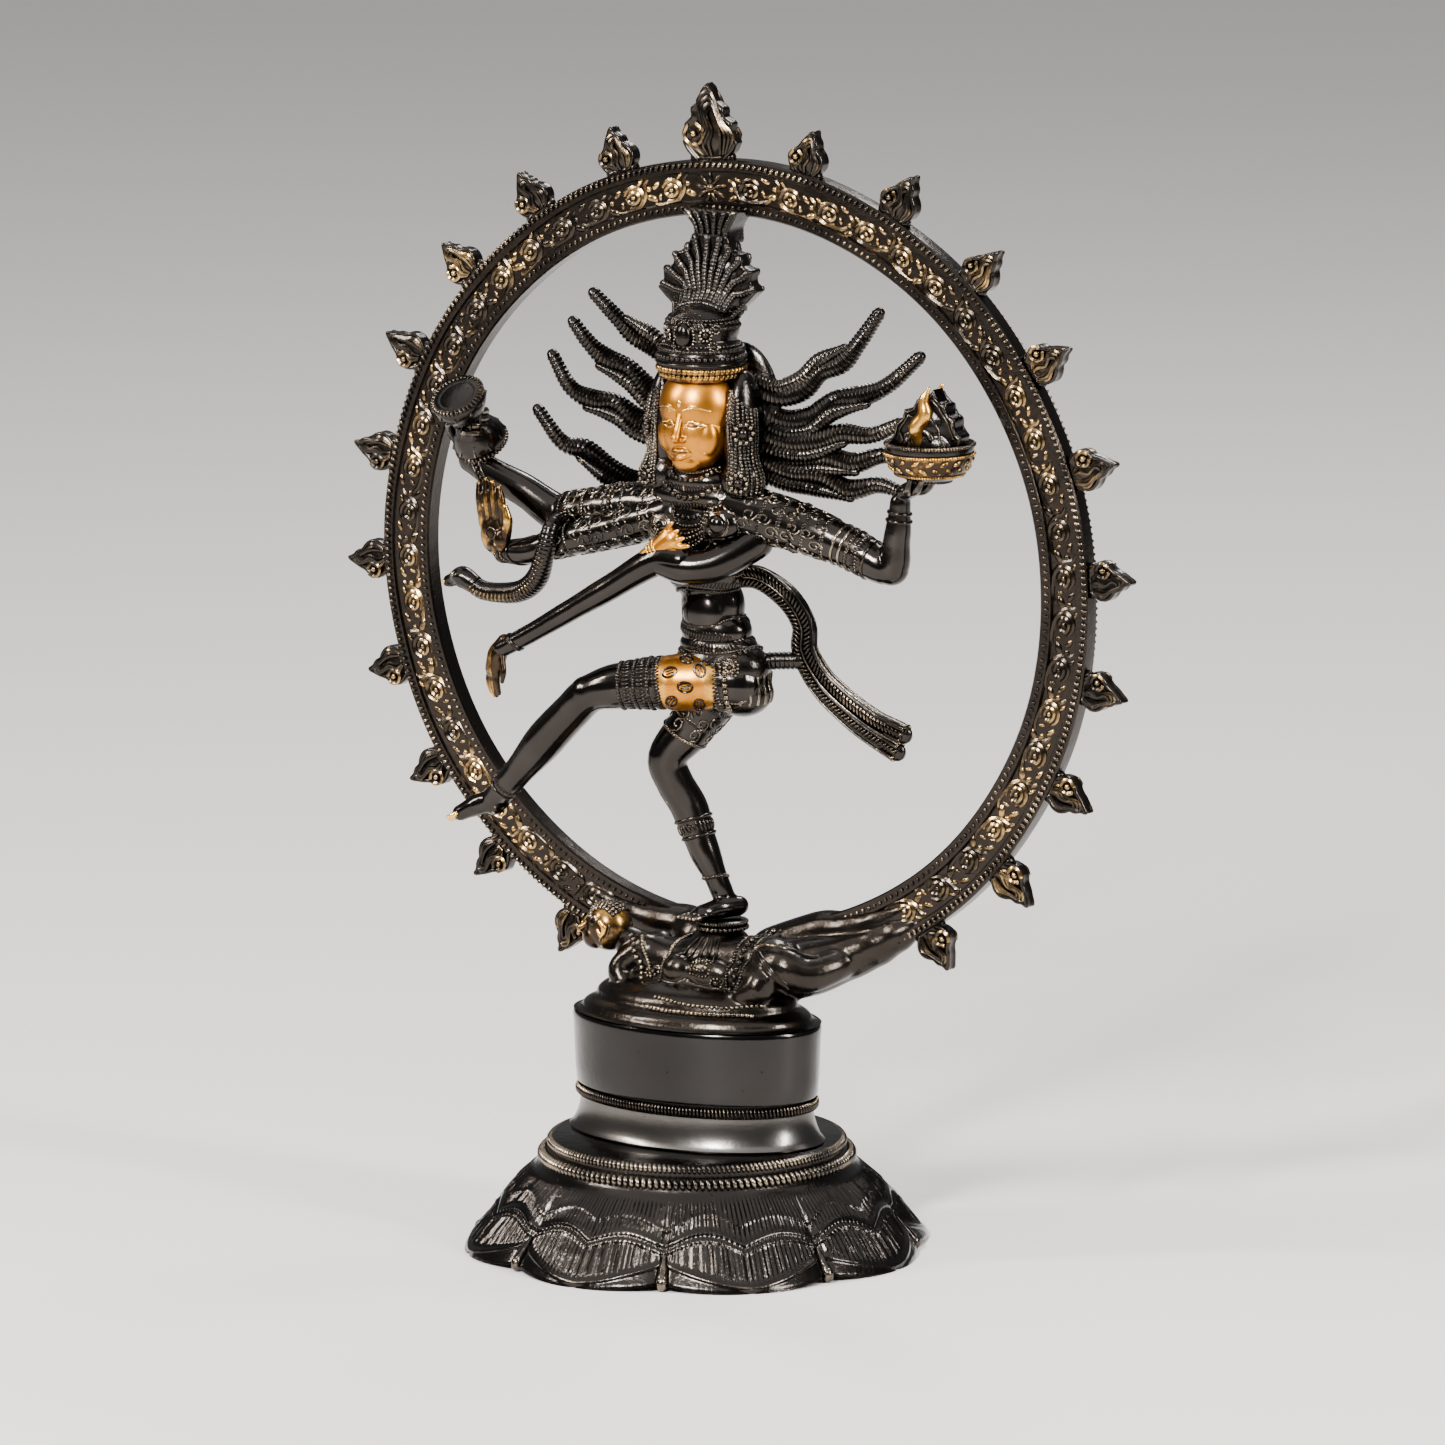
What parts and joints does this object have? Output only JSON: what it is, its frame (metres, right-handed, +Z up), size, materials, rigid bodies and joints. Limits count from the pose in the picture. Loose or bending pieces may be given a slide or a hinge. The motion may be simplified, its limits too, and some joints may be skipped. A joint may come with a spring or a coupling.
{
  "type": "dancing figure statue",
  "caption": "Cast brass statue of a dancing four-armed figure inside a ring of flames, on an oval plinth over a round lotus skirt.",
  "frame": {"origin": "on the floor under the middle of the flame ring, which is the middle of the bounding box", "axes": "+Z up, the figure faces -Y, +X to the right of someone looking at its face"},
  "size_m": [0.2362, 0.121, 0.3001],
  "materials": {
    "patina_brass": "antiqued dark patina with rubbed highlights",
    "ring_brass": "antiqued, blackened in the recesses and rubbed bright on the relief",
    "flame_brass": "antiqued, rubbed bright on the ridges",
    "polished_brass": "polished",
    "gunmetal_brass": "dark oxidised and polished",
    "rough_brass": "as cast, brown",
    "fixing_steel": "plain"
  },
  "bodies": {
    "root": {"lotus_skirt": "patina_brass", "plinth": "gunmetal_brass", "stud_left": "fixing_steel", "washer_left": "fixing_steel", "nut_left": "fixing_steel", "stud_right": "fixing_steel", "washer_right": "fixing_steel", "nut_right": "fixing_steel", "dwarf_body": "rough_brass", "dwarf_head": "polished_brass", "foot_pad": "patina_brass", "flame_ring": "ring_brass", "flame_01": "flame_brass", "flame_02": "flame_brass", "flame_03": "flame_brass", "flame_04": "flame_brass", "flame_05": "flame_brass", "flame_06": "flame_brass", "flame_07": "flame_brass", "flame_08": "flame_brass", "flame_09": "flame_brass", "flame_10": "flame_brass", "flame_11": "flame_brass", "flame_12": "flame_brass", "flame_13": "flame_brass", "flame_14": "flame_brass", "flame_15": "flame_brass", "flame_16": "flame_brass", "flame_17": "flame_brass", "flame_18": "flame_brass", "flame_19": "flame_brass", "flame_20": "flame_brass", "flame_21": "flame_brass", "torso": "patina_brass", "waistcloth": "patina_brass", "head": "polished_brass", "crown": "patina_brass", "crown_bracket": "patina_brass", "hair_left": "patina_brass", "hair_right": "patina_brass", "standing_leg": "patina_brass", "lifted_leg": "patina_brass", "drum_arm": "patina_brass", "drum": "patina_brass", "blessing_arm": "patina_brass", "snake": "polished_brass", "fire_arm": "patina_brass", "fire_bowl": "polished_brass", "bowl_flame": "patina_brass", "crossing_arm": "polished_brass", "sash": "patina_brass"}
  },
  "joints": []
}
